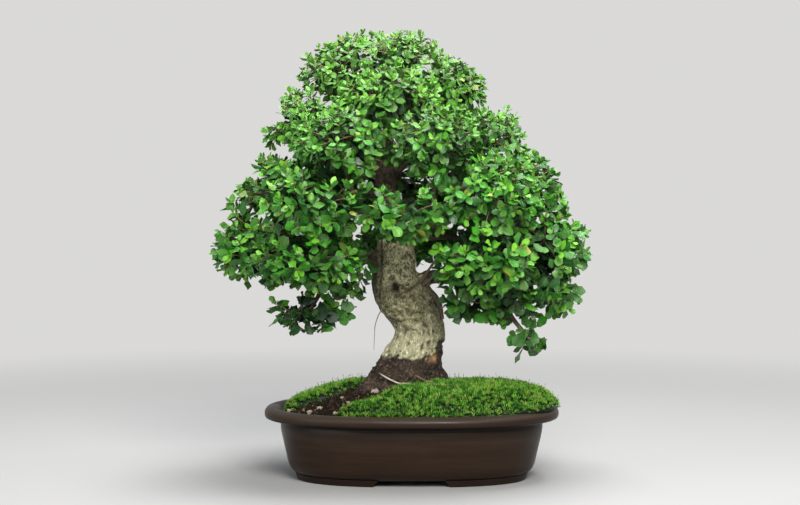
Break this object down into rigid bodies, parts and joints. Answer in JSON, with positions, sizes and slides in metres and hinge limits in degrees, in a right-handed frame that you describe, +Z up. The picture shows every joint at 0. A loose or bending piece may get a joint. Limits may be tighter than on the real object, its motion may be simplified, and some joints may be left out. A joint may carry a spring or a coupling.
{
  "type": "cork oak bonsai",
  "caption": "Broad, dense evergreen bonsai with a leaning corky trunk, grown in a mossed soil mound in an oval brown stoneware pot on two feet.",
  "frame": {"origin": "on the surface that the pot stands on, at the middle of the whole object's width and depth", "axes": "+Z up along the tree, +X along the pot's length to the right as seen from the tree's front, -Y towards the tree's front"},
  "size_m": [0.5808, 0.4593, 0.6742],
  "materials": {
    "stoneware": "satin",
    "soil": "matte",
    "pumice": "matte",
    "moss": "matte",
    "bark": "matte",
    "leaves": "satin",
    "screen": "matte",
    "wire": "satin"
  },
  "bodies": {
    "root": {"drain_screen_left": "screen", "drain_screen_right": "screen", "leaves_apex": "leaves", "leaves_crown_back": "leaves", "leaves_crown_front": "leaves", "leaves_crown_left": "leaves", "leaves_crown_right": "leaves", "leaves_hanging_left": "leaves", "leaves_hanging_right": "leaves", "leaves_low_back": "leaves", "leaves_low_back_left": "leaves", "leaves_low_back_right": "leaves", "leaves_low_front_left": "leaves", "leaves_low_front_right": "leaves", "leaves_low_left": "leaves", "leaves_low_right": "leaves", "leaves_middle_back": "leaves", "leaves_middle_back_left": "leaves", "leaves_middle_back_right": "leaves", "leaves_middle_front": "leaves", "leaves_middle_front_left": "leaves", "leaves_middle_front_right": "leaves", "leaves_middle_left": "leaves", "leaves_middle_right": "leaves", "leaves_skirt_front_right": "leaves", "leaves_skirt_right": "leaves", "leaves_upper_back_left": "leaves", "leaves_upper_back_right": "leaves", "leaves_upper_front_left": "leaves", "leaves_upper_front_right": "leaves", "leaves_upper_left": "leaves", "leaves_upper_right": "leaves", "moss_back": "moss", "moss_front": "moss", "moss_left": "moss", "moss_right": "moss", "pot": "stoneware", "pumice_1": "pumice", "pumice_2": "pumice", "pumice_3": "pumice", "pumice_4": "pumice", "pumice_5": "pumice", "pumice_6": "pumice", "pumice_7": "pumice", "screen_clip_left": "wire", "screen_clip_right": "wire", "soil": "soil", "trunk_and_branches": "bark"}
  },
  "joints": []
}
